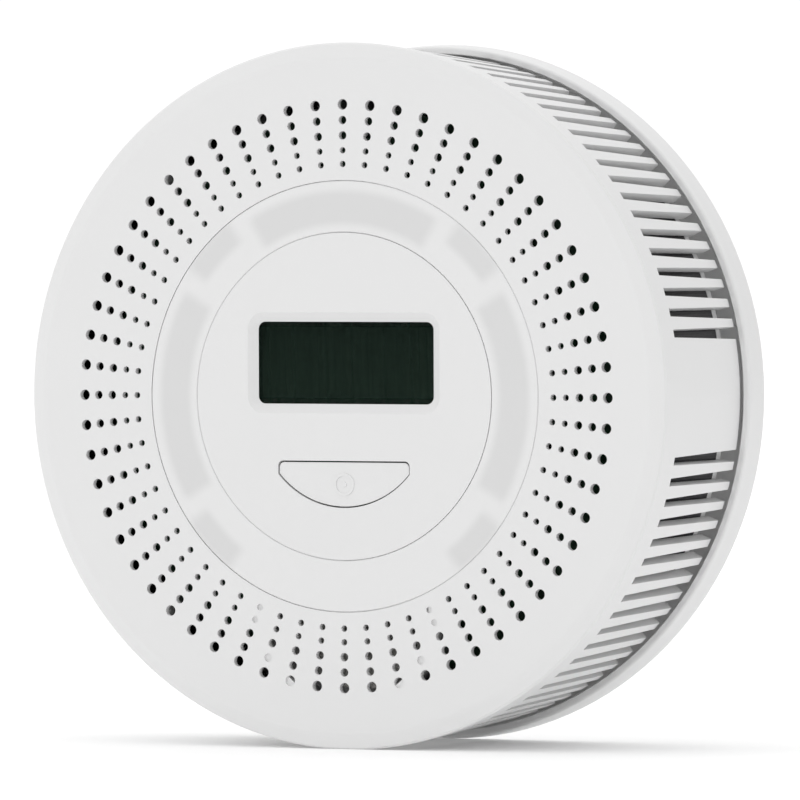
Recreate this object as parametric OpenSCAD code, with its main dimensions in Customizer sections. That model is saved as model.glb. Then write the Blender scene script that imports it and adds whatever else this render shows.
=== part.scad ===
// Round battery carbon monoxide alarm with a twist-off wall plate.
// Every module is drawn flat on the wall: x right, y up, z out of the wall.
// from_wall() then stands it up, so the front face looks along -Y and the wall is the plane y = 0.

/* [Overall] */
// Diameter of the front cover
cover_d = 118.8; // [112:0.2:144]
// Diameter of the mounting plate
plate_d = 118.6; // [112:0.2:144]
// Distance from the wall to the front face
total_depth = 41; // [40.5:0.5:52]

/* [Front cover] */
// Wall thickness of the front cover
cover_wall = 2; // [1.5:0.1:2.5]
// Width of the bevel round the front face
bevel_w = 2.6; // [1:0.1:4]
// Depth of the bevel round the front face
bevel_h = 0.8; // [0.5:0.1:2]
// Height of the plain band in front of the side slots
band_h = 6.5; // [4:0.1:9]
// How much smaller the cover's radius is at the fin tips than at the bevel
side_draft = 2.1; // [0:0.1:2.2]
// Distance from the front of the plate's rim to the fin tips
fin_gap = 0.1; // [0.1:0.1:4]
// Slot steps round the full circle
slot_steps = 104; // [80:4:120]
// Slot steps taken up by each of the four plain panels
panel_steps = 6; // [4:2:8]
// Width of a side slot at its closed front end
slot_front_w = 1.35; // [0.8:0.05:1.6]
// Width of a side slot at its open rear end
slot_rear_w = 2.1; // [1.2:0.05:2.4]
// Chamfer on the outer rear edge of the fins
fin_chamfer = 0.3; // [0.1:0.1:1.2]
// Radius of the soft edge between the front face and its bevel
face_round = 2; // [0.5:0.1:3]

/* [Grille] */
// Radial rows of holes in the front face
hole_rows = 60; // [36:4:72]
// Diameters of the five rings of holes, innermost first
hole_ds = [1.1, 1.1, 1.45, 1.45, 1.8]; // each from 0.8 to 2
// Distance from the edge of the insert to the innermost ring
first_ring_gap = 2.7; // [2:0.1:4]
// Distance from the outermost ring to the edge of the cover
last_ring_gap = 10.4; // [9.5:0.1:14]
// Thickness of the front face where the holes go through it
grille_t = 1.1; // [0.8:0.1:1.4]
// Depth of the holes that the sounder's seat closes
dimple_h = 0.4; // [0.2:0.1:0.6]

/* [Light ring and centre panel] */
// Radius of the opening for the light ring
insert_r = 36.3; // [34:0.1:37]
// Radius of the joint between light ring and centre panel
panel_r = 27.5; // [26.5:0.1:29]
// Width of the chamfers that make the grooves round the light ring
groove = 0.18; // [0.1:0.02:0.3]
// Depth of those chamfers
groove_h = 0.22; // [0.1:0.02:0.4]
// Clearance between the cover, the light ring and the centre panel
joint_gap = 0.04; // [0.02:0.01:0.1]
// Thickness of the flanges that hold the light ring and the panel from behind
flange_t = 1.2; // [0.8:0.1:1.6]
// How far each flange reaches behind its neighbour
flange_w = 1.4; // [1:0.1:2]

/* [Display] */
// Width of the display opening
lcd_w = 32.8; // [26:0.2:34]
// Height of the display opening
lcd_h = 13.8; // [10:0.2:16]
// Height of the display's centre above the middle of the face
lcd_y = 5.6; // [4:0.1:7]
// Corner radius of the display opening
lcd_r = 1.3; // [0.5:0.1:2]
// Width of the sloped recess round the display opening
lcd_recess = 1.6; // [0.8:0.1:2]
// Thickness of the clear window
window_t = 1; // [0.6:0.1:1.2]
// Thickness of the liquid crystal cell
lcd_cell_t = 2.6; // [1.8:0.1:3]

/* [Test button] */
// Width of the test button
button_w = 24.2; // [18:0.2:26]
// Height of the test button from its flat top to the lowest point of its arc
button_h = 7.4; // [6:0.1:7.6]
// Distance of the button's flat top below the middle of the face
button_top = 11.1; // [10:0.1:12]
// Length of the straight sides below the button's top corners
button_side = 1.9; // [1:0.1:3]
// Gap round the button
button_gap = 0.25; // [0.15:0.05:0.4]
// Distance that the button travels when pressed
button_travel = 0.6; // [0.3:0.1:0.6]
// Thickness of the button's front plate
button_t = 1.1; // [0.9:0.1:1.2]

/* [Circuit board] */
// Thickness of the circuit board
board_t = 1.6; // [1:0.1:1.6]
// Distance from the front face to the front of the board
board_depth = 9.4; // [9:0.1:10.4]

/* [Sounder] */
// Radius of the sounder housing's rim
sounder_r = 17.5; // [15:0.1:17.8]
// Width of the sounder housing's rim
sounder_rim = 2.3; // [1.6:0.1:3]
// Distance of the sounder's centre below the middle of the face
sounder_y = 36; // [36:0.1:37]
// Radius of the piezo plate
piezo_r = 13.5; // [10:0.1:13.8]

/* [Gas sensor] */
// Radius of the electrochemical cell
sensor_r = 10; // [7:0.1:10.5]
// Length of the electrochemical cell with its cap
sensor_len = 16; // [12:0.1:17]
// Distance of the cell's centre above the middle of the face
sensor_y = 38; // [38:0.1:38.4]

/* [Batteries] */
// Diameter of one battery
battery_d = 14.2; // [10:0.1:14.5]
// Length of one battery over its terminals
battery_len = 50.5; // [44:0.1:51]
// Clear space round each battery
battery_gap = 0.7; // [0.4:0.1:0.8]
// Length of a compressed contact spring
spring_len = 4.6; // [3.5:0.1:5]
// Thickness of the contact plates
contact_t = 0.5; // [0.3:0.1:0.6]

/* [Rear housing] */
// Wall thickness of the rear housing's back
back_t = 1.8; // [1.4:0.1:2.2]
// Wall thickness of the rear housing's side
rim_wall = 1.6; // [1.2:0.1:2]
// Clear gap between the rear ends of the fins and the rear housing
air_gap = 0.2; // [0.2:0.1:1.2]
// Thickness of the insect screen
screen_t = 0.4; // [0.2:0.1:0.6]
// Height of the lip that the insect screen stands on
lip_h = 2.4; // [1.4:0.1:4]
// Thickness of the battery door
door_t = 1.6; // [1.2:0.1:1.6]
// Gap round the battery door
door_gap = 0.2; // [0.15:0.05:0.3]
// Radius of the door's hinge pins
hinge_pin_r = 0.9; // [0.7:0.05:1]
// Running clearance round the hinge pins
pin_clearance = 0.05; // [0.02:0.01:0.09]

/* [Mounting plate] */
// Thickness of the plate against the wall
plate_t = 2; // [1.5:0.1:2.5]
// Height of the plate's rim above the wall
rim_h = 5.9; // [5.6:0.1:8]
// Thickness of the plate's rim at its front edge
rim_t = 1.3; // [1:0.1:1.8]
// Distance between the plate's two screw slots
screw_spacing = 98; // [94:0.5:100]
// Width of a screw slot
screw_slot_w = 4.4; // [3.5:0.1:5]
// Length of a screw slot
screw_slot_l = 9; // [6:0.1:9]
// Gap between the plate's rim and the back of the head
head_gap = 0.6; // [0.4:0.1:1]

/* [Twist lock] */
// Angle covered by each hook and each lug
lug_angle = 12; // [8:1:14]
// Clearance between a lug and its hook, along the wall's normal
lug_clearance = 0.3; // [0.2:0.05:0.4]
// Clearance between a lug and its hook, across the wall
lug_side_gap = 0.4; // [0.3:0.05:0.5]

/* [Hidden] */
$fn = 96;
over = 1;                                     // how far a cut runs past the face it opens

// front cover
cover_r = cover_d / 2;
face_back = total_depth - cover_wall;         // inner side of the front face
fin_tip = rim_h + fin_gap;
slot_step = 360 / slot_steps;
slots_per_side = slot_steps / 4 - panel_steps + 1;
corner_fill = 1;                              // sloped fill inside the cover's front corner
edge_break = 0.3;                             // broken edge between the bevel and the side
first_ring = insert_r + first_ring_gap;
last_ring = cover_r - last_ring_gap;
ring_count = len(hole_ds);
ring_growth = 1.06;                           // above 1 the rings stand further apart outwards
grille_in = insert_r + flange_w + 0.3;        // inner edge of the thin part of the face
grille_out = last_ring + 1.4;
key_w = 1.8;                                  // key that stops the light ring from turning
key_h = 0.6;
key_t = 1;
key_gap = 0.1;
key_root = 0.6;

// rear housing
housing_r = cover_r - side_draft - cover_wall - air_gap;
back_h = rim_h + head_gap;                    // outer face of the housing's back
floor_h = back_h + back_t;
split_h = back_h + 13.5;                      // where the cover's bosses meet the housing's columns
rim_top = split_h - 1.5;                      // front edge of the housing's side wall
back_round = 1;                               // rounding of the housing's back edge
lip_top = back_h + lip_h;
screen_gap = 0.1;
wall_r = housing_r - screen_t - screen_gap;   // outside of the housing's wall, inside the screen
boss_r = 2.8;
boss_ring = wall_r - boss_r - 0.1;
boss_angles = [45, 135, 225, 315];
pilot_r = 1.1;
pilot_l = 15;
shank_r = 1.05;
clear_r = 1.5;
head_r = 2.3;
head_h = 1.6;
head_seat = 2;
housing_screw_len = 26;

// circuit board
board_top = total_depth - board_depth;
board_bottom = board_top - board_t;
board_r = boss_ring - boss_r - 0.6;
small_boss_r = 2.4;
board_screw_r = 0.95;
board_hole_r = 1.3;
board_thread = 5;                             // length of a board screw inside the panel's boss
board_head_r = 2;
board_head_h = 1.4;
chip_w = 10;
chip_t = 1.4;
amplifier_spot = [16, 29];
amplifier_size = [5, 4, 1.6];
capacitor_spots = [[-33, -29], [-24, -34]];
capacitor_r = 3.15;
capacitor_h = 7;
coil_spot = [33.6, -28.8];
coil_r = 4;
coil_core_r = 3.2;
coil_h = 6;
coil_flange = 0.9;
board_screw_spots = [[-12.4, 21.4], [12.4, 21.4], [-20, -13], [20, -13]];
post_spots = [[-38, 12], [38, 12], [-38, -12], [38, -12]];
post_r = 2.2;

// display
window_margin = 1.2;                          // how far the window reaches behind the panel
cell_margin = 2.6;                            // how far the cell reaches past the opening
cell_w = lcd_w + 2 * cell_margin;
cell_l = lcd_h + 2 * cell_margin;
holder_wall = 1.4;
holder_gap = 0.2;
cell_front = face_back;
cell_back = cell_front - lcd_cell_t;
zebra_w = 2;
zebra_inset = 1.4;
holder_shelf = 0.6;                           // ledge that the cell rests on

// test button
button_arc = (pow(button_w / 2, 2) + pow(button_h - button_side, 2)) / 2 / (button_h - button_side);
button_front = total_depth - 0.2;
button_back = button_front - button_t;
button_mid = -button_top - button_h / 2;
button_corner = 0.9;
leg_w = 1.4;
leg_l = 1.8;
ear_w = 1.3;
ear_t = 0.8;
ear_drop = 0.3;
stem_r = 2;
symbol_r = 1.9;
symbol_line = 0.4;
symbol_dot_r = 0.45;
symbol_h = 0.15;
switch_w = 6;
switch_h = 3.5;
plunger_r = 1.75;
plunger_h = 1.5;
plunger_sunk = 1.4;                           // part of the plunger inside the switch
plunger_gap = 0.1;
switch_top = board_top + switch_h;
plunger_top = switch_top + plunger_h;

// light ring
window_in = panel_r + 1.7;
window_out = insert_r - 2;
well_wall = 0.9;
long_wells = [0, 90, 180];
short_wells = [44.5, 135.5, 225, 315];
long_half = 26;
short_half = 8.5;
led_w = 3.2;
led_l = 2.6;
led_h = 1.1;

// sounder
sounder_wall = 1.6;
sounder_bore = sounder_r - sounder_rim / 2 - sounder_wall / 2;
sounder_floor = 1;
sounder_rim_t = 1.2;
piezo_ledge = 0.6;                            // ledge that the piezo plate rests on
ledge_h = 1.4;
piezo_t = 0.3;
ceramic_t = 0.25;
ceramic_share = 0.74;
sounder_clear = 0.25;

// gas sensor
cap_share = 0.19;
pin_r = 0.5;
pin_ring = 6;
pin_gap = 0.06;
pin_spots = [for (a = [90, 210, 330]) [pin_ring * cos(a), sensor_y + pin_ring * sin(a)]];
sensor_stand = 1.5;
sensor_top = board_bottom - sensor_stand;
sensor_cap_h = sensor_len * cap_share;
cap_inset = 0.8;
inlet_r = 1.6;
vent_w = 1.4;
vent_l = 12;
vent_pitch = 3.6;

// batteries
door_in = back_h + door_t;
battery_pitch = battery_d + battery_gap;
battery_h = door_in + 0.3 + battery_d / 2;
cavity_l = battery_len + spring_len + 2 * contact_t;
cavity_w = 3 * battery_d + 2 * battery_gap + 1.6;
cavity_top = battery_h + battery_d / 2 + 0.6;
cavity_wall = 1.4;
battery_shift = spring_len / 2;               // each battery sits off centre, away from its spring
nub_r = 2.7;
nub_h = 1;
wire_r = 0.35;
coil_turns = 4;
coil_wide = 4.6;
coil_narrow = 2.6;
contact_w = 9;
contact_l = 8;
tail_w = 3;
tail_gap = 0.3;

// battery door
ledge_w = 1.2;                                // ledge that the door closes against
door_l = cavity_l + 2 * ledge_w;
hinge_y = cavity_w / 2 + 0.1;
hinge_h = back_h + 1.2;
barrel_r = 1.2;
door_low = -cavity_w / 2 - ledge_w + door_gap;
pin_len = 1.6;
pin_seat = 0.2;                               // the pin's bore is this much deeper than the pin
latch_w = 10;
latch_t = 0.8;
latch_h = 3.6;
latch_gap = 0.55;
thumb_r = 4.2;
thumb_h = 0.8;                                // depth of the thumb recess
thumb_y = 6;                                  // its place above the door's lower edge
grip_y = 11;
grip_l = 16;
grip_w = 0.8;
grip_h = 0.5;
grip_pitch = 2;

// mounting plate
plate_r = plate_d / 2;
plate_edge = 0.8;
rim_draft = 0.3;
rim_round = 0.5;
rim_break = 0.15;                             // broken inner edge of the rim
dish_fill = 0.5;                              // sloped fill where the rim meets the plate
root = 0.2;                                   // how far a moulded feature runs into its base
rim_top_r = plate_r - rim_draft;
rim_in = rim_top_r - rim_t;
door_reach = norm([door_l / 2, hinge_y + barrel_r + 1]);
plate_open_r = door_reach + 2.4;              // lets the battery door swing through the plate
collar_w = 1.2;
collar_h = 1.2;

// twist lock
lug_spots = [90, 210, 330];
lug_in = plate_open_r + 3.4;
stem_w = 2.1;
foot_w = 2.7;
foot_t = 1.4;
foot_h = plate_t + 0.6;
hook_in = lug_in + stem_w + lug_side_gap;
post_in = lug_in + stem_w + foot_w + lug_side_gap;
hook_t = 1.3;
hook_low = foot_h + foot_t + lug_clearance;
hook_post = 1.8;
stop_angle = 1.6;
stop_gap_angle = 0.7;

// ---- helpers ----

module from_wall() {
    rotate([90, 0, 0]) children();
}

module at_height(h) {
    translate([0, 0, h]) children();
}

module at_spots(spots) {
    for (s = spots) translate([s[0], s[1], 0]) children();
}

module at_angles(angles, r) {
    for (a = angles) rotate([0, 0, a]) translate([r, 0, 0]) children();
}

module tube(r_out, r_in, h) {
    difference() {
        cylinder(r = r_out, h = h);
        translate([0, 0, -over]) cylinder(r = r_in, h = h + 2 * over);
    }
}

module rounded_rect(w, l, r) {
    square([w - 2 * r, l], center = true);
    square([w, l - 2 * r], center = true);
    for (x = [-1, 1], y = [-1, 1]) {
        translate([x * (w / 2 - r), y * (l / 2 - r)]) circle(r = r);
    }
}

module slab(w, l, h, r) {
    linear_extrude(h) rounded_rect(w, l, r);
}

// Arc-shaped block about the z axis, centred on the angle at_a
module arc_block(r_in, r_out, h, half_a, at_a) {
    rotate_extrude(angle = 2 * half_a, start = at_a - half_a)
        translate([r_in, 0]) square([r_out - r_in, h]);
}

// Points of an arc about [x, y], from angle a to angle b
function arc(x, y, r, a, b, steps = 4) = [
    for (i = [0:steps]) let (t = a + (b - a) * i / steps) [x + r * cos(t), y + r * sin(t)]
];

// Everything that the sounder housing needs kept clear
module sounder_room() {
    translate([0, -sounder_y, 0]) cylinder(r = sounder_r + sounder_clear, h = total_depth);
}

// ---- mounting plate ----

module plate_dish() {
    rotate_extrude() polygon(concat(
        [[plate_open_r, 0], [plate_r - plate_edge, 0], [plate_r, plate_edge]],
        arc(rim_top_r - rim_round, rim_h - rim_round, rim_round, 0, 90),
        [
            [rim_in + rim_break, rim_h],
            [rim_in, rim_h - rim_break],
            [rim_in, plate_t + dish_fill],
            [rim_in - dish_fill, plate_t],
            [plate_open_r + collar_w, plate_t],
            [plate_open_r + collar_w, plate_t + collar_h],
            [plate_open_r, plate_t + collar_h]
        ]
    ));
}

module plate_hook() {
    rotate_extrude(angle = lug_angle, start = -lug_angle / 2) polygon([
        [post_in, plate_t - root],
        [post_in + hook_post, plate_t - root],
        [post_in + hook_post, hook_low + hook_t],
        [hook_in, hook_low + hook_t],
        [hook_in, hook_low],
        [post_in, hook_low]
    ]);
    // stop that the lug meets at the end of the locking turn
    stop_h = hook_low + hook_t - plate_t + root;
    at_height(plate_t - root) {
        arc_block(lug_in, post_in + hook_post, stop_h, stop_angle / 2,
                  -lug_angle / 2 - stop_gap_angle - stop_angle / 2);
        arc_block(post_in, post_in + hook_post, stop_h, stop_gap_angle / 2 + 0.1,
                  -lug_angle / 2 - stop_gap_angle / 2);
    }
}

module mounting_plate() color("white") from_wall() {
    difference() {
        union() {
            plate_dish();
            at_angles(lug_spots, 0) plate_hook();
        }
        for (x = [-1, 1]) translate([x * screw_spacing / 2, 0, -over]) screw_slot();
    }
}

// Straight slot with round ends
module screw_slot() {
    reach = screw_slot_l / 2 - screw_slot_w / 2;
    for (x = [-1, 1]) translate([x * reach, 0, 0]) cylinder(d = screw_slot_w, h = plate_t + 2 * over);
    translate([-reach, -screw_slot_w / 2, 0]) cube([2 * reach, screw_slot_w, plate_t + 2 * over]);
}

// ---- front cover ----

// Outer radius of the cover's tapered side at the height h
function side_r(h) =
    cover_r - side_draft * (total_depth - bevel_h - h) / (total_depth - bevel_h - fin_tip);

module cover_shell() {
    slope = atan(bevel_h / bevel_w);
    edge_r = cover_r - bevel_w - face_round * tan(slope / 2);   // where the soft edge starts
    roof = total_depth - grille_t;
    rotate_extrude() polygon(concat(
        [[insert_r, total_depth]],
        arc(edge_r, total_depth - face_round, face_round, 90, 90 - slope),
        [
            [cover_r - edge_break, total_depth - bevel_h * (1 - edge_break / bevel_w)],
            [cover_r, total_depth - bevel_h - edge_break],
            [side_r(fin_tip + fin_chamfer), fin_tip + fin_chamfer],
            [side_r(fin_tip) - fin_chamfer, fin_tip],
            [side_r(fin_tip) - cover_wall, fin_tip],
            [side_r(face_back - corner_fill) - cover_wall, face_back - corner_fill],
            [side_r(face_back) - cover_wall - corner_fill, face_back],
            [grille_out, face_back],
            [grille_out, roof],
            [grille_in, roof],
            [grille_in, face_back],
            [insert_r, face_back]
        ]
    ));
}

function ring_r(i) = first_ring + (last_ring - first_ring) * pow(i / (ring_count - 1), ring_growth);

module grille_holes() {
    for (row = [0:hole_rows - 1], i = [0:ring_count - 1]) {
        rotate([0, 0, 90 + row * 360 / hole_rows])
            translate([ring_r(i), 0, face_back - over])
            cylinder(d = hole_ds[i], h = cover_wall + 2 * over, $fn = 24);
    }
}

module side_slot() {
    near = side_r(fin_tip) - cover_wall - over;
    translate([near, 0, 0]) rotate([90, 0, 90]) linear_extrude(cover_r + over - near) polygon([
        [-slot_front_w / 2, total_depth - band_h],
        [slot_front_w / 2, total_depth - band_h],
        [slot_rear_w / 2, fin_tip - over],
        [-slot_rear_w / 2, fin_tip - over]
    ]);
}

module side_slots() {
    for (side = [0:3], i = [0:slots_per_side - 1]) {
        rotate([0, 0, side * 90 + (panel_steps / 2 + i) * slot_step]) side_slot();
    }
}

module cover_bosses() {
    at_height(split_h) at_angles(boss_angles, boss_ring)
        cylinder(r = boss_r, h = total_depth - grille_t + root - split_h);
}

// Ring inside the face that presses on the sounder's rim and closes the holes in front of it
module sounder_seat() {
    at_height(face_back) intersection() {
        translate([0, -sounder_y, 0]) tube(sounder_r, sounder_bore, cover_wall - dimple_h);
        tube(grille_out + root, grille_in - root, cover_wall - dimple_h);
    }
}

module front_cover() color("white") from_wall() {
    difference() {
        union() {
            difference() {
                cover_shell();
                grille_holes();
            }
            cover_bosses();
            sounder_seat();
        }
        side_slots();
        at_height(split_h - over) at_angles(boss_angles, boss_ring)
            cylinder(r = pilot_r, h = pilot_l + over);
        translate([-key_w / 2, insert_r - over, face_back - over])
            cube([key_w, over + key_h, over + key_t]);
    }
}

// ---- light ring and centre panel ----

module light_ring() color([0.93, 0.93, 0.92]) from_wall() {
    outer = insert_r - joint_gap;
    inner = panel_r + joint_gap;
    difference() {
        union() {
            rotate_extrude() polygon([
                [inner, face_back],
                [window_out, face_back],
                [window_out, face_back - flange_t],
                [insert_r + flange_w, face_back - flange_t],
                [insert_r + flange_w, face_back],
                [outer, face_back],
                [outer, total_depth - groove_h],
                [outer - groove, total_depth],
                [inner + groove, total_depth],
                [inner, total_depth - groove_h]
            ]);
            translate([-key_w / 2 + key_gap, insert_r - key_root, face_back])
                cube([key_w - 2 * key_gap, key_root + key_h - key_gap, key_t - key_gap]);
        }
        translate([0, 0, -cover_wall]) sounder_room();
    }
}

module panel_bosses() {
    at_spots(board_screw_spots) at_height(board_top)
        cylinder(r = small_boss_r, h = face_back + root - board_top);
}

module lcd_opening() {
    at_height(face_back - over) linear_extrude(cover_wall + 2 * over)
        translate([0, lcd_y]) rounded_rect(lcd_w, lcd_h, lcd_r);
    at_height(face_back - over) translate([0, lcd_y, 0])
        slab(lcd_w + 2 * window_margin, lcd_h + 2 * window_margin, window_t + over, lcd_r);
    // sloped recess that widens towards the front
    translate([0, lcd_y, total_depth - cover_wall + window_t]) hull() {
        slab(lcd_w, lcd_h, 0.01, lcd_r, $fn = 32);
        at_height(cover_wall - window_t)
            slab(lcd_w + 2 * lcd_recess, lcd_h + 2 * lcd_recess, over, lcd_r + lcd_recess, $fn = 32);
    }
}

// Outline of the test button: flat top, short straight sides and one shallow arc below.
// grow widens it on every side.
module button_outline(grow) {
    intersection() {
        translate([0, button_mid])
            rounded_rect(button_w + 2 * grow, button_h + 2 * grow, button_corner);
        translate([0, -button_top - button_h + button_arc]) circle(r = button_arc + grow, $fn = 192);
    }
}

module centre_panel() color("white") from_wall() {
    difference() {
        union() {
            at_height(face_back) cylinder(r = panel_r, h = cover_wall);
            difference() {
                at_height(face_back - flange_t)
                    tube(panel_r + flange_w, panel_r - 1, flange_t);
                sounder_room();
            }
            panel_bosses();
        }
        lcd_opening();
        at_height(face_back - over) linear_extrude(cover_wall + 2 * over)
            button_outline(button_gap);
        at_spots(board_screw_spots) at_height(board_top - over)
            cylinder(r = board_screw_r + 0.05, h = over + board_thread + 0.4);
    }
}

// ---- display ----

module lcd_window() color([0.1, 0.14, 0.11, 0.6]) from_wall() {
    at_height(face_back) translate([0, lcd_y, 0])
        slab(lcd_w + 2 * window_margin - 0.2, lcd_h + 2 * window_margin - 0.2, window_t, lcd_r);
}

module lcd_cell() color([0.14, 0.18, 0.15]) from_wall() {
    at_height(cell_back) translate([-cell_w / 2, lcd_y - cell_l / 2, 0])
        cube([cell_w, cell_l, lcd_cell_t]);
}

module lcd_holder() color([0.9, 0.9, 0.88]) from_wall() {
    room_w = cell_w + 2 * holder_gap;
    room_l = cell_l + 2 * holder_gap;
    shelf_l = cell_l - 2 * zebra_inset - 2 * zebra_w - 2 * holder_shelf;
    translate([0, lcd_y, board_top]) difference() {
        slab(room_w + 2 * holder_wall, room_l + 2 * holder_wall, cell_front - 0.4 - board_top, 1);
        translate([-room_w / 2, -room_l / 2, cell_back - board_top])
            cube([room_w, room_l, lcd_cell_t + over]);
        for (side = [-1, 1])
            translate([-cell_w / 2, side * (cell_l / 2 - zebra_inset - zebra_w / 2) - zebra_w / 2 - 0.1, -over])
            cube([cell_w, zebra_w + 0.2, cell_back - board_top + 2 * over]);
        translate([-cell_w / 2 + holder_wall, -shelf_l / 2, -over])
            cube([cell_w - 2 * holder_wall, shelf_l, cell_back - board_top - 1 + over]);
    }
}

module zebra_strips() color([0.85, 0.6, 0.65]) from_wall() {
    for (side = [-1, 1])
        translate([-cell_w / 2 + 0.5, lcd_y + side * (cell_l / 2 - zebra_inset - zebra_w / 2) - zebra_w / 2,
                   board_top])
        cube([cell_w - 1, zebra_w, cell_back - board_top]);
}

// ---- light ring's optics ----

module light_well(half_a, at_a, depth) {
    arc_block(window_in + well_wall, window_out - well_wall, depth, half_a, at_a);
}

module light_baffle() color([0.95, 0.95, 0.95]) from_wall() {
    deep = face_back - board_top;
    at_height(board_top) difference() {
        tube(window_out - 0.1, window_in, deep);
        for (a = long_wells) translate([0, 0, -over]) light_well(long_half, a, deep + 2 * over);
        for (a = short_wells) translate([0, 0, -over]) light_well(short_half, a, deep + 2 * over);
        translate([0, 0, -board_top]) sounder_room();
    }
}

module indicator_leds() color([0.95, 0.9, 0.55]) from_wall() {
    at_height(board_top + led_h / 2)
        at_angles(concat(long_wells, short_wells), (window_in + window_out) / 2)
        cube([led_l, led_w, led_h], center = true);
}

// ---- test button and its switch ----

// Plain ring with a dot in its middle
module button_symbol() {
    tube(symbol_r, symbol_r - symbol_line, symbol_h);
    cylinder(r = symbol_dot_r, h = symbol_h);
}

module test_button() color("white") from_wall() {
    leg_y = -button_top - 0.4 - leg_l;
    at_height(button_back) linear_extrude(button_t) button_outline(0);
    translate([0, button_mid, button_front - 0.001]) button_symbol();
    for (side = [-1, 1]) {
        translate([side * (button_w / 2 - leg_w / 2) - leg_w / 2, leg_y, face_back - ear_drop - ear_t])
            cube([leg_w, leg_l, button_back - face_back + ear_drop + ear_t + 0.2]);
        translate([side * (button_w / 2 + ear_w / 2) - ear_w / 2, leg_y, face_back - ear_drop - ear_t])
            cube([ear_w, leg_l, ear_t]);
    }
    translate([0, button_mid, plunger_top])
        cylinder(r = stem_r, h = button_back - plunger_top + 0.2);
}

module switch_body() color([0.12, 0.12, 0.12]) from_wall() {
    translate([0, button_mid, board_top]) difference() {
        translate([-switch_w / 2, -switch_w / 2, 0]) cube([switch_w, switch_w, switch_h]);
        at_height(switch_h - plunger_sunk - button_travel - 0.2)
            cylinder(r = plunger_r + plunger_gap, h = plunger_sunk + button_travel + 0.2 + over);
    }
}

module switch_plunger() color([0.2, 0.2, 0.2]) from_wall() {
    translate([0, button_mid, switch_top - plunger_sunk])
        cylinder(r = plunger_r, h = plunger_h + plunger_sunk);
}

// ---- circuit board ----

module main_board() color([0.06, 0.2, 0.12]) from_wall() {
    at_height(board_bottom) difference() {
        cylinder(r = board_r, h = board_t);
        at_spots(board_screw_spots) translate([0, 0, -over])
            cylinder(r = board_hole_r, h = board_t + 2 * over);
        at_spots(pin_spots) translate([0, 0, -over])
            cylinder(r = pin_r + pin_gap, h = board_t + 2 * over);
    }
}

module screw(shank, length, head, head_height) {
    cylinder(r = shank, h = length);
    translate([0, 0, -head_height]) difference() {
        cylinder(r = head, h = head_height);
        for (a = [0, 90]) rotate([0, 0, a]) translate([-head * 0.65, -head * 0.12, -over])
            cube([head * 1.3, head * 0.24, over + head_height * 0.5]);
    }
}

module board_screws() color("silver") from_wall() {
    at_spots(board_screw_spots) at_height(board_bottom)
        screw(board_screw_r, board_t + board_thread, board_head_r, board_head_h);
}

module microcontroller() color([0.1, 0.1, 0.11]) from_wall() {
    translate([-chip_w / 2, -chip_w / 2, board_bottom - chip_t]) cube([chip_w, chip_w, chip_t]);
}

module signal_amplifier() color([0.1, 0.1, 0.11]) from_wall() {
    translate(concat(amplifier_spot, board_bottom - amplifier_size[2])) cube(amplifier_size);
}

module capacitors() color([0.15, 0.18, 0.3]) from_wall() {
    at_spots(capacitor_spots) at_height(board_bottom - capacitor_h)
        cylinder(r = capacitor_r, h = capacitor_h);
}

module boost_coil() color([0.35, 0.2, 0.1]) from_wall() {
    translate(concat(coil_spot, board_bottom - coil_h)) {
        cylinder(r = coil_core_r, h = coil_h);
        for (h = [0, coil_h - coil_flange]) at_height(h) cylinder(r = coil_r, h = coil_flange);
    }
}

// ---- sounder ----

module sounder_housing() color([0.9, 0.9, 0.9]) from_wall() {
    deep = face_back - board_top;
    translate([0, -sounder_y, board_top]) difference() {
        union() {
            cylinder(r = sounder_bore + sounder_wall, h = deep);
            at_height(deep - sounder_rim_t) cylinder(r = sounder_r, h = sounder_rim_t);
        }
        at_height(sounder_floor + ledge_h) cylinder(r = sounder_bore, h = deep);
        at_height(sounder_floor) cylinder(r = piezo_r - piezo_ledge, h = deep);
    }
}

module piezo_plate() color([0.8, 0.65, 0.3]) from_wall() {
    translate([0, -sounder_y, board_top + sounder_floor + ledge_h]) cylinder(r = piezo_r, h = piezo_t);
}

module piezo_ceramic() color([0.85, 0.85, 0.8]) from_wall() {
    translate([0, -sounder_y, board_top + sounder_floor + ledge_h + piezo_t])
        cylinder(r = piezo_r * ceramic_share, h = ceramic_t);
}

// ---- gas sensor ----

module co_sensor_body() color("silver") from_wall() {
    translate([0, sensor_y, sensor_top - sensor_len + sensor_cap_h])
        cylinder(r = sensor_r, h = sensor_len - sensor_cap_h);
}

module co_sensor_cap() color([0.2, 0.2, 0.22]) from_wall() {
    translate([0, sensor_y, sensor_top - sensor_len]) difference() {
        cylinder(r = sensor_r - cap_inset, h = sensor_cap_h);
        translate([0, 0, -over]) cylinder(r = inlet_r, h = over + sensor_cap_h * 0.6);
    }
}

module co_sensor_pins() color("silver") from_wall() {
    at_spots(pin_spots) at_height(sensor_top) cylinder(r = pin_r, h = board_top + 0.8 - sensor_top);
}

// ---- insect screen ----

module insect_screen() color([0.22, 0.22, 0.23]) from_wall() {
    low = lip_top + screen_gap;
    at_height(low) tube(housing_r, housing_r - screen_t, face_back - corner_fill - screen_gap - low);
}

// ---- rear housing ----

module housing_pan() {
    rotate_extrude() polygon(concat(
        [[0, back_h]],
        arc(housing_r - back_round, back_h + back_round, back_round, -90, 0, 6),
        [
            [housing_r, lip_top],
            [wall_r, lip_top],
            [wall_r, rim_top],
            [wall_r - rim_wall, rim_top],
            [wall_r - rim_wall, floor_h],
            [0, floor_h]
        ]
    ));
}

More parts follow.
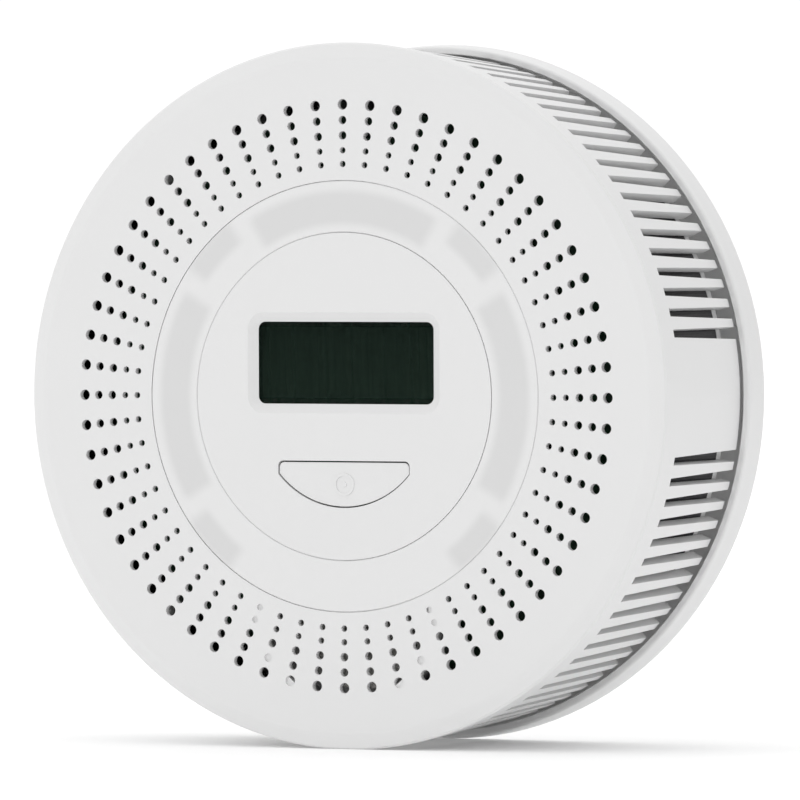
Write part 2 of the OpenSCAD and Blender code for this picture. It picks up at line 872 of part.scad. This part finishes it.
module housing_lug() {
    rotate_extrude(angle = lug_angle, start = -lug_angle / 2) polygon([
        [lug_in, foot_h],
        [lug_in + stem_w + foot_w, foot_h],
        [lug_in + stem_w + foot_w, foot_h + foot_t],
        [lug_in + stem_w, foot_h + foot_t],
        [lug_in + stem_w, back_h + 0.3],
        [lug_in, back_h + 0.3]
    ]);
}

module battery_box() {
    translate([0, 0, back_h + 0.4])
        slab(door_l + 2 * cavity_wall, cavity_w + 2 * ledge_w + 2 * cavity_wall,
             cavity_top + cavity_wall - back_h - 0.4, 1);
}

module battery_room() {
    translate([-cavity_l / 2, -cavity_w / 2, back_h - over])
        cube([cavity_l, cavity_w, cavity_top - back_h + over]);
}

module door_rebate() {
    top = hinge_y + barrel_r + 0.3;
    low = door_low - door_gap;
    translate([-door_l / 2 - door_gap, low, back_h - over])
        cube([door_l + 2 * door_gap, top - low, door_t + over]);
    // round seat for the hinge barrel
    translate([-door_l / 2 - door_gap, hinge_y, hinge_h]) rotate([0, 90, 0])
        cylinder(r = barrel_r + 0.3, h = door_l + 2 * door_gap);
}

module hinge_bores() {
    for (side = [-1, 1])
        translate([side * (door_l / 2 + pin_len / 2), hinge_y, hinge_h]) rotate([0, 90, 0])
        cylinder(r = hinge_pin_r + pin_clearance, h = pin_len + 2 * pin_seat + door_gap, center = true);
}

module sensor_vents() {
    for (i = [-2:2])
        translate([i * vent_pitch - vent_w / 2, sensor_y - vent_l / 2, back_h - over])
            cube([vent_w, vent_l, back_t + 2 * over]);
}

module housing_columns() {
    at_height(back_h + 0.5) at_angles(boss_angles, boss_ring)
        cylinder(r = boss_r, h = split_h - back_h - 0.5);
}

module board_posts() {
    at_height(floor_h - 0.5) at_spots(post_spots) cylinder(r = post_r, h = board_bottom - floor_h + 0.5);
}

// Slots in the box's roof for the tails of the two end contacts
module tail_slots() {
    for (s = [[-1, 1], [1, -1]])
        translate([s[0] * (cavity_l / 2 - contact_t / 2), s[1] * battery_pitch, cavity_top + cavity_wall / 2])
        cube([contact_t + 2 * tail_gap, tail_w + 2 * tail_gap, 2 * cavity_wall], center = true);
}

module rear_housing() color([0.93, 0.93, 0.93]) from_wall() {
    difference() {
        union() {
            housing_pan();
            battery_box();
            housing_columns();
            board_posts();
            at_angles(lug_spots, 0) housing_lug();
        }
        battery_room();
        door_rebate();
        hinge_bores();
        sensor_vents();
        tail_slots();
        at_height(back_h - over) at_angles(boss_angles, boss_ring) {
            cylinder(r = clear_r, h = split_h - back_h + 2 * over);
            cylinder(r = head_r + 0.2, h = head_seat + over);
        }
    }
}

module housing_screws() color("silver") from_wall() {
    at_height(back_h + head_seat) at_angles(boss_angles, boss_ring)
        screw(shank_r, housing_screw_len, head_r, head_h);
}

module rating_label() color([0.88, 0.88, 0.86]) from_wall() {
    translate([0, -(plate_open_r - 4), back_h - 0.2]) slab(36, 7, 0.2, 1);
}

// ---- batteries and contacts ----

// Battery along x with its positive end at +x
module battery() {
    rotate([0, 90, 0]) {
        translate([0, 0, -battery_len / 2]) cylinder(d = battery_d, h = battery_len - nub_h);
        translate([0, 0, battery_len / 2 - nub_h - 0.2]) cylinder(r = nub_r, h = nub_h + 0.2);
    }
}

module battery_at(place, way) {
    translate([way * battery_shift, place * battery_pitch, battery_h])
        rotate([0, 0, way > 0 ? 0 : 180]) battery();
}

module battery_1() color([0.2, 0.35, 0.55]) from_wall() {
    battery_at(1, 1);
}

module battery_2() color([0.2, 0.35, 0.55]) from_wall() {
    battery_at(0, -1);
}

module battery_3() color([0.2, 0.35, 0.55]) from_wall() {
    battery_at(-1, 1);
}

// Conical coil along x: from the wall plate at x = 0 to the battery at x = length
module cone_coil(length) {
    sides = 8;
    per_turn = 16;
    rings = coil_turns * per_turn;
    span = length - 2 * wire_r;
    points = [
        for (i = [0:rings], k = [0:sides - 1])
            let (t = i / rings, turn = 360 * coil_turns * t, a = 360 * k / sides,
                 r = coil_wide + (coil_narrow - coil_wide) * t + wire_r * cos(a))
            [wire_r + span * t + wire_r * sin(a), r * cos(turn), r * sin(turn)]
    ];
    skin = [
        for (i = [0:rings - 1], k = [0:sides - 1])
            let (n = (k + 1) % sides)
            [i * sides + k, i * sides + n, (i + 1) * sides + n, (i + 1) * sides + k]
    ];
    caps = [
        [for (k = [sides - 1:-1:0]) k],
        [for (k = [0:sides - 1]) rings * sides + k]
    ];
    polyhedron(points = points, faces = concat(skin, caps), convexity = 10);
}

module contact_springs() color("silver") from_wall() {
    for (b = [[1, 1], [0, -1], [-1, 1]])
        translate([-b[1] * (cavity_l / 2 - contact_t), b[0] * battery_pitch, battery_h])
        rotate([0, 0, b[1] > 0 ? 0 : 180]) cone_coil(spring_len);
}

// Plate against an end wall; low and high are battery places, side is the wall
module contact_plate(side, low, high, tail) {
    long_y = (high - low) * battery_pitch + contact_w;
    translate([side * (cavity_l / 2 - contact_t / 2), (low + high) / 2 * battery_pitch, battery_h])
        cube([contact_t, long_y, contact_l], center = true);
    if (tail)
        translate([side * (cavity_l / 2 - contact_t / 2) - contact_t / 2,
                   low * battery_pitch - tail_w / 2, battery_h])
        cube([contact_t, tail_w, board_bottom - battery_h]);
}

module contact_plates() color("silver") from_wall() {
    contact_plate(1, 0, 1, false);
    contact_plate(-1, -1, 0, false);
    contact_plate(-1, 1, 1, true);
    contact_plate(1, -1, -1, true);
}

// ---- battery door ----

module battery_door() color([0.93, 0.93, 0.93]) from_wall() {
    difference() {
        union() {
            translate([-door_l / 2, door_low, back_h]) cube([door_l, hinge_y - door_low, door_t]);
            translate([-door_l / 2, hinge_y, hinge_h]) rotate([0, 90, 0])
                cylinder(r = barrel_r, h = door_l);
            translate([-latch_w / 2, -cavity_w / 2 + latch_gap, door_in - 0.2])
                cube([latch_w, latch_t, latch_h + 0.2]);
        }
        // thumb recess and grip lines in the outer face
        translate([0, door_low + thumb_y, back_h + thumb_h - thumb_r]) sphere(r = thumb_r, $fn = 48);
        for (i = [0:2])
            translate([-grip_l / 2, door_low + grip_y + grip_pitch * i, back_h - over])
                cube([grip_l, grip_w, over + grip_h]);
    }
    for (side = [-1, 1])
        translate([side * (door_l / 2 + pin_len / 2 - 0.1), hinge_y, hinge_h]) rotate([0, 90, 0])
        cylinder(r = hinge_pin_r, h = pin_len + 0.2, center = true);
}

mounting_plate();
front_cover();
light_ring();
centre_panel();
lcd_window();
lcd_cell();
lcd_holder();
zebra_strips();
light_baffle();
indicator_leds();
test_button();
switch_body();
switch_plunger();
main_board();
board_screws();
sounder_housing();
piezo_plate();
piezo_ceramic();
microcontroller();
signal_amplifier();
capacitors();
boost_coil();
co_sensor_body();
co_sensor_cap();
co_sensor_pins();
insect_screen();
rear_housing();
housing_screws();
battery_1();
battery_2();
battery_3();
contact_springs();
contact_plates();
battery_door();
rating_label();
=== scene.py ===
import math

import bpy
from mathutils import Matrix, Vector


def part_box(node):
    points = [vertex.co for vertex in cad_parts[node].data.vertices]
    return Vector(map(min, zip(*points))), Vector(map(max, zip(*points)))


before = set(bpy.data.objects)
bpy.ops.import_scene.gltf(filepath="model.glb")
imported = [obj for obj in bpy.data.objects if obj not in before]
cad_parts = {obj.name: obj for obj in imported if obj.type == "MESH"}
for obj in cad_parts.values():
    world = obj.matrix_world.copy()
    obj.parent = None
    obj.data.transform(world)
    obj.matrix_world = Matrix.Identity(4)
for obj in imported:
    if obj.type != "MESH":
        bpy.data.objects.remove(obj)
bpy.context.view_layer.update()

# ---------------------------------------------------------------- named sizes, in metres and degrees

mm = 0.001
FACE_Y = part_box("front_cover")[0].y
FLOOR_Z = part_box("mounting_plate")[0].z

# where the camera stands: to the right of straight in front, above level, and its tilt about its own axis
CAMERA_AZIMUTH = 26.2
CAMERA_ELEVATION = 1.15
CAMERA_ROLL = -0.2
CAMERA_DISTANCE = 1.880
CAMERA_LENS = 504.1
SENSOR = 36.0
CLIP_NEAR, CLIP_FAR = 0.05, 50
# how far right of and below the middle of the face the camera looks
AIM_RIGHT = 9.5 * mm
AIM_DOWN = 0.64 * mm
FLOOR_SIZE = 8.0
# light of the floor itself, which keeps it white around the object's soft shadow
FLOOR_GLOW = 0.12
# brightness of the studio's light at the horizon and overhead
SKY_LEVEL = 0.80
SKY_TOP = 1.35
# share of that light that the right-hand side of the studio lacks
SKY_RIGHT_LOSS = 0.32
# brightness of the plain backdrop that only the camera sees
BACKDROP_GLOW = 1.05
# widths of the bevels on the moulded parts' edges
SHELL_BEVEL = 0.16 * mm
BUTTON_BEVEL = 0.14 * mm

# the light ring's long windows of painted shade, where the lamp chambers lie behind it: half their angle
# about each quarter turn, and their two radii
LONG_ARC_HALF = math.radians(30.5)
LONG_ARC_RADII = (28.9 * mm, 34.5 * mm)
# the heights between which the long windows fade out, so that there is none at the bottom
LONG_ARC_FLOOR = (-24 * mm, -22 * mm)
# the short windows of painted shade start this far from the nearest quarter turn, and lie about the
# diagonals
SHORT_ARC_FROM = math.radians(36.5)
SHORT_ARC_RADII = (32.1 * mm, 36.2 * mm)
# how far each window's edge fades, along the ring and across it
ARC_FADE = math.radians(2.2)
RADIUS_FADE = 0.9 * mm
# the share of the ring's own brightness left in its windows of painted shade
WINDOW_SHADE = 0.88

# the insect screen's radius and the spacing of its wires
SCREEN_RADIUS = 55.6 * mm
SCREEN_PITCH = 0.5 * mm

# the cells' bare ends start this far from the middle, and their coloured band this far along
CELL_END = 26.6 * mm
CELL_BAND = 13 * mm

# the label's border: distance from its edge, and half its width
BORDER_INSET = 0.9 * mm
BORDER_HALF = 0.12 * mm


# ---------------------------------------------------------------- small node-graph helpers

class Graph:
    """A material's node tree, with one short method for each node that the finishes use."""

    def __init__(self, name):
        self.material = bpy.data.materials.new(name)
        self.material.use_nodes = True
        self.tree = self.material.node_tree
        self.shader = self.tree.nodes["Principled BSDF"]
        self.coords = self.tree.nodes.new("ShaderNodeTexCoord").outputs["Object"]

    def node(self, kind, **settings):
        made = self.tree.nodes.new(kind)
        for key, value in settings.items():
            setattr(made, key, value)
        return made

    def put(self, value, socket):
        """Links an output to a socket, or writes a plain value on it."""
        if isinstance(value, bpy.types.NodeSocket):
            self.tree.links.new(value, socket)
        else:
            socket.default_value = value

    def set(self, **values):
        """Sets the shader's own sockets: roughness=0.4 sets Roughness, base_color=... sets Base Color."""
        for key, value in values.items():
            special = {"ior": "IOR", "specular_level": "Specular IOR Level"}
            name = special.get(key, key.replace("_", " ").title())
            self.put(value, self.shader.inputs[name])
        return self

    def math(self, operation, a, b=0.0, c=0.0):
        made = self.node("ShaderNodeMath", operation=operation)
        for value, socket in zip((a, b, c), made.inputs):
            self.put(value, socket)
        return made.outputs[0]

    def noise(self, size, detail=2.0, rough=0.5, stretch=(1, 1, 1)):
        """Noise with features about size metres across."""
        vector = self.scaled(stretch) if stretch != (1, 1, 1) else self.coords
        made = self.node("ShaderNodeTexNoise")
        self.put(vector, made.inputs["Vector"])
        made.inputs["Scale"].default_value = 1 / size
        made.inputs["Detail"].default_value = detail
        made.inputs["Roughness"].default_value = rough
        return made.outputs["Fac"]

    def scaled(self, factors):
        made = self.node("ShaderNodeMapping")
        self.put(self.coords, made.inputs["Vector"])
        made.inputs["Scale"].default_value = factors
        return made.outputs["Vector"]

    def axes(self):
        made = self.node("ShaderNodeSeparateXYZ")
        self.put(self.coords, made.inputs[0])
        return made.outputs["X"], made.outputs["Y"], made.outputs["Z"]

    def ramp(self, value, low, high, to_low=0.0, to_high=1.0, smooth=True):
        """value from low..high carried to to_low..to_high."""
        made = self.node("ShaderNodeMapRange", interpolation_type="SMOOTHSTEP" if smooth else "LINEAR")
        for part, socket in zip((value, low, high, to_low, to_high), made.inputs):
            self.put(part, socket)
        return made.outputs[0]

    def mix(self, share, a, b):
        """Colour a where share is 0 and b where it is 1."""
        made = self.node("ShaderNodeMix", data_type="RGBA")
        self.put(share, made.inputs["Factor"])
        for value, socket in ((a, made.inputs[6]), (b, made.inputs[7])):
            self.put(value if isinstance(value, bpy.types.NodeSocket) else (*value, 1.0), socket)
        return made.outputs[2]

    def bump(self, height, distance, strength=1.0):
        made = self.node("ShaderNodeBump")
        self.put(height, made.inputs["Height"])
        made.inputs["Distance"].default_value = distance
        made.inputs["Strength"].default_value = strength
        self.put(made.outputs["Normal"], self.shader.inputs["Normal"])
        return self


def shade(color, factor):
    return tuple(min(1.0, c * factor) for c in color)


def moulded(graph, color, rough, grain=0.22 * mm, depth=0.004 * mm, tint=0.985):
    """Injection-moulded plastic: a spark-eroded grain, faint flow mottling and uneven sheen."""
    mottle = graph.noise(14 * mm, detail=3)
    fine = graph.noise(grain, detail=2, rough=0.6)
    # a colour that is already a node's output is used as it is
    plain = not isinstance(color, bpy.types.NodeSocket)
    graph.set(
        base_color=graph.mix(mottle, color, shade(color, tint)) if plain else color,
        roughness=graph.ramp(fine, 0.3, 0.7, rough - 0.05, rough + 0.05),
    )
    graph.bump(fine, depth)
    return graph


# ---------------------------------------------------------------- finishes

WHITE = (0.77, 0.77, 0.77)


def white_plastic():
    graph = Graph("white_plastic")
    moulded(graph, WHITE, 0.44)
    return graph.set(ior=1.5).material


def inner_white_plastic():
    graph = Graph("inner_white_plastic")
    moulded(graph, shade(WHITE, 1.02), 0.52, grain=0.35 * mm, depth=0.006 * mm)
    return graph.set(ior=1.5).material


def diffuser_plastic():
    """Milky ring with painted shade: the lamp chambers behind it are painted into its colour as soft
    darker arcs.
    """
    graph = Graph("diffuser_plastic")
    x, _, z = graph.axes()
    squares = graph.math("ADD", graph.math("MULTIPLY", x, x), graph.math("MULTIPLY", z, z))
    radius = graph.math("SQRT", squares)
    angle = graph.math("ARCTAN2", z, x)
    # how far the angle is from the nearest quarter turn, 0 to 45 degrees
    off_axis = graph.math("ABSOLUTE", graph.math("PINGPONG", angle, math.pi / 4))

    def band(value, low, high, soft):
        rising = graph.ramp(value, low - soft, low + soft)
        falling = graph.ramp(value, high - soft, high + soft, 1.0, 0.0)
        return graph.math("MULTIPLY", rising, falling)

    long_arcs = graph.math(
        "MULTIPLY",
        graph.math(
            "MULTIPLY",
            graph.ramp(off_axis, LONG_ARC_HALF - ARC_FADE, LONG_ARC_HALF + ARC_FADE, 1.0, 0.0),
            graph.ramp(z, *LONG_ARC_FLOOR),
        ),
        band(radius, *LONG_ARC_RADII, RADIUS_FADE),
    )
    short_arcs = graph.math(
        "MULTIPLY",
        graph.ramp(off_axis, SHORT_ARC_FROM - ARC_FADE, SHORT_ARC_FROM + ARC_FADE),
        band(radius, *SHORT_ARC_RADII, RADIUS_FADE),
    )
    # painted shade: the arcs where the lamp chambers behind the ring would darken it
    painted_chamber_shade = graph.math("MAXIMUM", long_arcs, short_arcs)
    color = graph.mix(painted_chamber_shade, WHITE, shade(WHITE, WINDOW_SHADE))
    moulded(graph, color, 0.42)
    return graph.set(ior=1.5).material


def window_glass():
    """A thin clear window: a faint dark tint over whatever stands behind it, and its own sheen."""
    graph = Graph("window_glass")
    smear = graph.noise(9 * mm, detail=2)
    graph.set(
        base_color=(0.015, 0.024, 0.019, 1.0),
        roughness=graph.ramp(smear, 0.3, 0.7, 0.03, 0.07),
        alpha=0.12,
        specular_level=0.0,
    )
    return graph.material


def lcd_green():
    """The dark liquid crystal cell, with painted shade: darker towards its top edge under the recess, a
    little paler towards its lower edge.
    """
    graph = Graph("lcd_green")
    low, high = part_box("lcd_cell")
    z = graph.axes()[2]
    # painted shade: the cell darker at its top, under the recess above it, and paler at its lower edge
    painted_shade_ramp = graph.ramp(z, high.z, low.z, smooth=False)
    cloud = graph.noise(6 * mm, detail=3)
    base = graph.mix(painted_shade_ramp, (0.016, 0.027, 0.021), (0.026, 0.046, 0.034))
    graph.set(
        base_color=graph.mix(graph.math("MULTIPLY", cloud, 0.2), base, (0.026, 0.040, 0.032)),
        roughness=graph.ramp(cloud, 0.3, 0.7, 0.18, 0.26),
        specular_level=0.0,
    )
    return graph.material


def rubber(name, color):
    graph = Graph(name)
    grit = graph.noise(0.3 * mm, detail=3)
    graph.set(base_color=graph.mix(grit, color, shade(color, 0.85)), roughness=0.8)
    return graph.bump(grit, 0.01 * mm).material


def resin(name, color):
    graph = Graph(name)
    haze = graph.noise(1.5 * mm, detail=2)
    graph.set(
        base_color=graph.mix(haze, color, shade(color, 0.9)),
        roughness=graph.ramp(haze, 0.3, 0.7, 0.12, 0.2),
        transmission_weight=0.3,
        ior=1.54,
    )
    return graph.material


def black_plastic():
    graph = Graph("black_plastic")
    moulded(graph, (0.03, 0.03, 0.032), 0.5, tint=0.7)
    return graph.material


def board_laminate():
    """Green solder mask over a faint weave, with copper runs just under it."""
    graph = Graph("board_laminate")
    runs = graph.node("ShaderNodeTexBrick")
    graph.put(graph.coords, runs.inputs["Vector"])
    runs.inputs["Scale"].default_value = 1 / (7 * mm)
    runs.inputs["Mortar Size"].default_value = 0.03
    weave = graph.noise(0.7 * mm, detail=1)
    mask = graph.mix(weave, (0.006, 0.035, 0.016), (0.008, 0.042, 0.019))
    graph.set(
        base_color=graph.mix(runs.outputs["Fac"], mask, (0.014, 0.075, 0.032)),
        roughness=graph.ramp(weave, 0.3, 0.7, 0.28, 0.36),
    )
    return graph.bump(runs.outputs["Fac"], 0.03 * mm).material


def metal(name, color, rough, streaks=(1, 1, 1), grain=0.4 * mm):
    """Plated or rolled metal: streaked sheen and a faint uneven tone."""
    graph = Graph(name)
    grit = graph.noise(grain, detail=3, stretch=streaks)
    tone = graph.noise(5 * mm, detail=2)
    graph.set(
        base_color=graph.mix(tone, color, shade(color, 0.86)),
        metallic=1.0,
        roughness=graph.ramp(grit, 0.3, 0.7, rough - 0.06, rough + 0.08),
    )
    return graph.bump(grit, 0.003 * mm).material


def piezo_ceramic():
    graph = Graph("piezo_ceramic")
    speck = graph.noise(0.5 * mm, detail=3)
    graph.set(
        base_color=graph.mix(speck, (0.62, 0.61, 0.58), (0.74, 0.73, 0.69)),
        metallic=0.35,
        roughness=graph.ramp(speck, 0.3, 0.7, 0.35, 0.5),
    )
    return graph.bump(speck, 0.004 * mm).material


def sleeve(name, color):
    graph = Graph(name)
    ripple = graph.noise(2.5 * mm, detail=2)
    graph.set(
        base_color=graph.mix(ripple, color, shade(color, 0.8)),
        roughness=graph.ramp(ripple, 0.3, 0.7, 0.22, 0.32),
    )
    return graph.bump(ripple, 0.02 * mm).material


def dark_mesh():
    """A fine woven screen: crossing wires around the band and along it, near black as painted shade for
    the slots' dark interior.
    """
    graph = Graph("dark_mesh")
    x, y, z = graph.axes()
    around = graph.math("MULTIPLY", graph.math("ARCTAN2", z, x), SCREEN_RADIUS)

    def wires(along):
        phase = graph.math("MULTIPLY", along, math.pi / SCREEN_PITCH)
        return graph.math("ABSOLUTE", graph.math("SINE", phase))

    weave = graph.math("MAXIMUM", wires(around), wires(y))
    # the woven wires are real, but their near-black colour is painted shade standing in for the shade
    # deep inside the slots
    graph.set(
        base_color=graph.mix(weave, (0.02, 0.02, 0.021), (0.045, 0.045, 0.047)),
        roughness=graph.ramp(weave, 0.0, 1.0, 0.7, 0.45),
    )
    return graph.bump(weave, 0.05 * mm).material


def battery_finish():
    """Shrink sleeve with a copper-coloured end band, and bare nickel at both ends."""
    graph = Graph("battery_sleeve")
    x = graph.axes()[0]
    away = graph.math("ABSOLUTE", x)
    end = graph.math("GREATER_THAN", away, CELL_END)
    band = graph.math("GREATER_THAN", x, CELL_BAND)
    scuff = graph.noise(3 * mm, detail=3)
    printed = graph.mix(band, (0.035, 0.05, 0.09), (0.42, 0.20, 0.08))
    worn = graph.mix(scuff, printed, (0.2, 0.2, 0.22))
    blended = graph.mix(0.08, printed, worn)
    graph.set(
        base_color=graph.mix(end, blended, (0.72, 0.71, 0.69)),
        metallic=end,
        roughness=graph.ramp(scuff, 0.3, 0.7, 0.22, 0.34),
    )
    return graph.material


def label_paper():
    """A blank matt label with a thin printed border line."""
    graph = Graph("label_paper")
    low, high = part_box("rating_label")
    fibre = graph.noise(0.35 * mm, detail=4)
    paper = graph.mix(fibre, (0.70, 0.70, 0.68), (0.78, 0.78, 0.76))
    x, _, z = graph.axes()
    middle, reach = (low + high) / 2, (high - low) / 2

    def from_edge(along, centre, half):
        away = graph.math("ABSOLUTE", graph.math("SUBTRACT", along, centre))
        return graph.math("SUBTRACT", half, away)

    inset = graph.math("MINIMUM", from_edge(x, middle.x, reach.x), from_edge(z, middle.z, reach.z))
    line = graph.math("COMPARE", inset, BORDER_INSET, BORDER_HALF)
    graph.set(
        base_color=graph.mix(line, paper, (0.12, 0.12, 0.13)),
        roughness=graph.ramp(fibre, 0.3, 0.7, 0.6, 0.75),
    )
    return graph.bump(fibre, 0.006 * mm).material


FINISHES = {
    "white_plastic": white_plastic(),
    "diffuser_plastic": diffuser_plastic(),
    "inner_white_plastic": inner_white_plastic(),
    "window_glass": window_glass(),
    "lcd_green": lcd_green(),
    "pink_elastomer": rubber("pink_elastomer", (0.72, 0.36, 0.40)),
    "led_resin": resin("led_resin", (0.86, 0.80, 0.42)),
    "black_plastic": black_plastic(),
    "board_laminate": board_laminate(),
    "zinc_steel": metal("zinc_steel", (0.60, 0.61, 0.63), 0.32),
    "spring_steel": metal("spring_steel", (0.72, 0.71, 0.69), 0.22),
    "nickel_plate": metal("nickel_plate", (0.55, 0.54, 0.52), 0.3, streaks=(1, 1, 8)),
    "piezo_ceramic": piezo_ceramic(),
    "capacitor_sleeve": sleeve("capacitor_sleeve", (0.03, 0.04, 0.10)),
    "coil_wire": metal("coil_wire", (0.50, 0.20, 0.08), 0.3, streaks=(1, 12, 1)),
    "dark_mesh": dark_mesh(),
    "battery_sleeve": battery_finish(),
    "label_paper": label_paper(),
}

# ---------------------------------------------------------------- CAD nodes take their finishes

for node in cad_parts.values():
    for slot in node.material_slots:
        base = slot.material.name.split(".")[0] if slot.material else ""
        if base in FINISHES:
            slot.material = FINISHES[base]


def soften(node, width, angle=50):
    """Rounds a moulded part's sharp edges a little, so that they catch the light."""
    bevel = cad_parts[node].modifiers.new("soft_edges", "BEVEL")
    bevel.width = width
    bevel.segments = 2
    bevel.limit_method = "ANGLE"
    bevel.angle_limit = math.radians(angle)
    bevel.use_clamp_overlap = True
    bevel.harden_normals = True


soften("front_cover", SHELL_BEVEL)
soften("centre_panel", SHELL_BEVEL)
soften("test_button", BUTTON_BEVEL)


# ---------------------------------------------------------------- floor, light and camera

def camera_only(obj):
    """The camera sees this stage piece, but it lights nothing and blocks no light."""
    obj.visible_diffuse = False
    obj.visible_glossy = False
    obj.visible_transmission = False
    obj.visible_shadow = False


def studio_floor():
    """A pale floor that stays white under the light and takes a soft shadow."""
    bpy.ops.mesh.primitive_plane_add(size=FLOOR_SIZE, location=(0, 0, FLOOR_Z))
    floor = bpy.context.object
    floor.name = "studio_floor"
    graph = Graph("studio_floor")
    tone = graph.noise(0.4, detail=1)
    graph.set(
        base_color=graph.mix(tone, (0.92, 0.92, 0.92), (0.91, 0.91, 0.91)),
        roughness=0.8,
        emission_color=(1.0, 1.0, 1.0, 1.0),
        emission_strength=FLOOR_GLOW,
    )
    floor.data.materials.append(graph.material)


def studio_backdrop():
    """A plain white dome far behind everything, for the camera only."""
    bpy.ops.mesh.primitive_uv_sphere_add(segments=48, ring_count=24, radius=FLOOR_SIZE / 2)
    dome = bpy.context.object
    dome.name = "studio_backdrop"
    material = bpy.data.materials.new("studio_backdrop")
    material.use_nodes = True
    shader = material.node_tree.nodes["Principled BSDF"]
    shader.inputs["Base Color"].default_value = (0, 0, 0, 1)
    shader.inputs["Specular IOR Level"].default_value = 0.0
    shader.inputs["Emission Color"].default_value = (1, 1, 1, 1)
    shader.inputs["Emission Strength"].default_value = BACKDROP_GLOW
    dome.data.materials.append(material)
    camera_only(dome)


def studio_light():
    """Soft light from all round: brighter overhead, and dimmer from the right."""
    scene = bpy.context.scene
    world = bpy.data.worlds.new("studio")
    world.use_nodes = True
    tree = world.node_tree
    background = tree.nodes["Background"]
    direction = tree.nodes.new("ShaderNodeTexCoord")
    parts = tree.nodes.new("ShaderNodeSeparateXYZ")
    rise = tree.nodes.new("ShaderNodeMapRange")
    tree.links.new(direction.outputs["Generated"], parts.inputs[0])
    tree.links.new(parts.outputs["Z"], rise.inputs["Value"])
    for socket, value in zip(rise.inputs[1:5], (0.0, 1.0, SKY_LEVEL, SKY_TOP)):
        socket.default_value = value
    loss = tree.nodes.new("ShaderNodeMapRange")
    tree.links.new(parts.outputs["X"], loss.inputs["Value"])
    for socket, value in zip(loss.inputs[1:5], (0.0, 1.0, 1.0, 1.0 - SKY_RIGHT_LOSS)):
        socket.default_value = value
    strength = tree.nodes.new("ShaderNodeMath")
    strength.operation = "MULTIPLY"
    tree.links.new(rise.outputs[0], strength.inputs[0])
    tree.links.new(loss.outputs[0], strength.inputs[1])
    tree.links.new(strength.outputs[0], background.inputs["Strength"])
    background.inputs["Color"].default_value = (1, 1, 1, 1)
    scene.world = world
    scene.view_settings.view_transform = "Standard"
    scene.view_settings.look = "None"


def camera():
    """The camera, aimed beside and below the middle of the face."""
    a, e = math.radians(CAMERA_AZIMUTH), math.radians(CAMERA_ELEVATION)
    back = Vector((math.sin(a) * math.cos(e), -math.cos(a) * math.cos(e), math.sin(e)))
    right = Vector((math.cos(a), math.sin(a), 0))
    up = back.cross(right)
    aim = Vector((0, FACE_Y, 0)) + right * AIM_RIGHT - up * AIM_DOWN
    roll = math.radians(CAMERA_ROLL)
    level_right, level_up = right, up
    right = level_right * math.cos(roll) + level_up * math.sin(roll)
    up = level_up * math.cos(roll) - level_right * math.sin(roll)
    data = bpy.data.cameras.new("camera")
    data.lens = CAMERA_LENS
    data.sensor_width = SENSOR
    data.clip_start = CLIP_NEAR
    data.clip_end = CLIP_FAR
    made = bpy.data.objects.new("camera", data)
    bpy.context.scene.collection.objects.link(made)
    place = Matrix((right, up, back)).transposed().to_4x4()
    place.translation = aim + back * CAMERA_DISTANCE
    made.matrix_world = place
    bpy.context.scene.camera = made


studio_floor()
studio_backdrop()
studio_light()
camera()
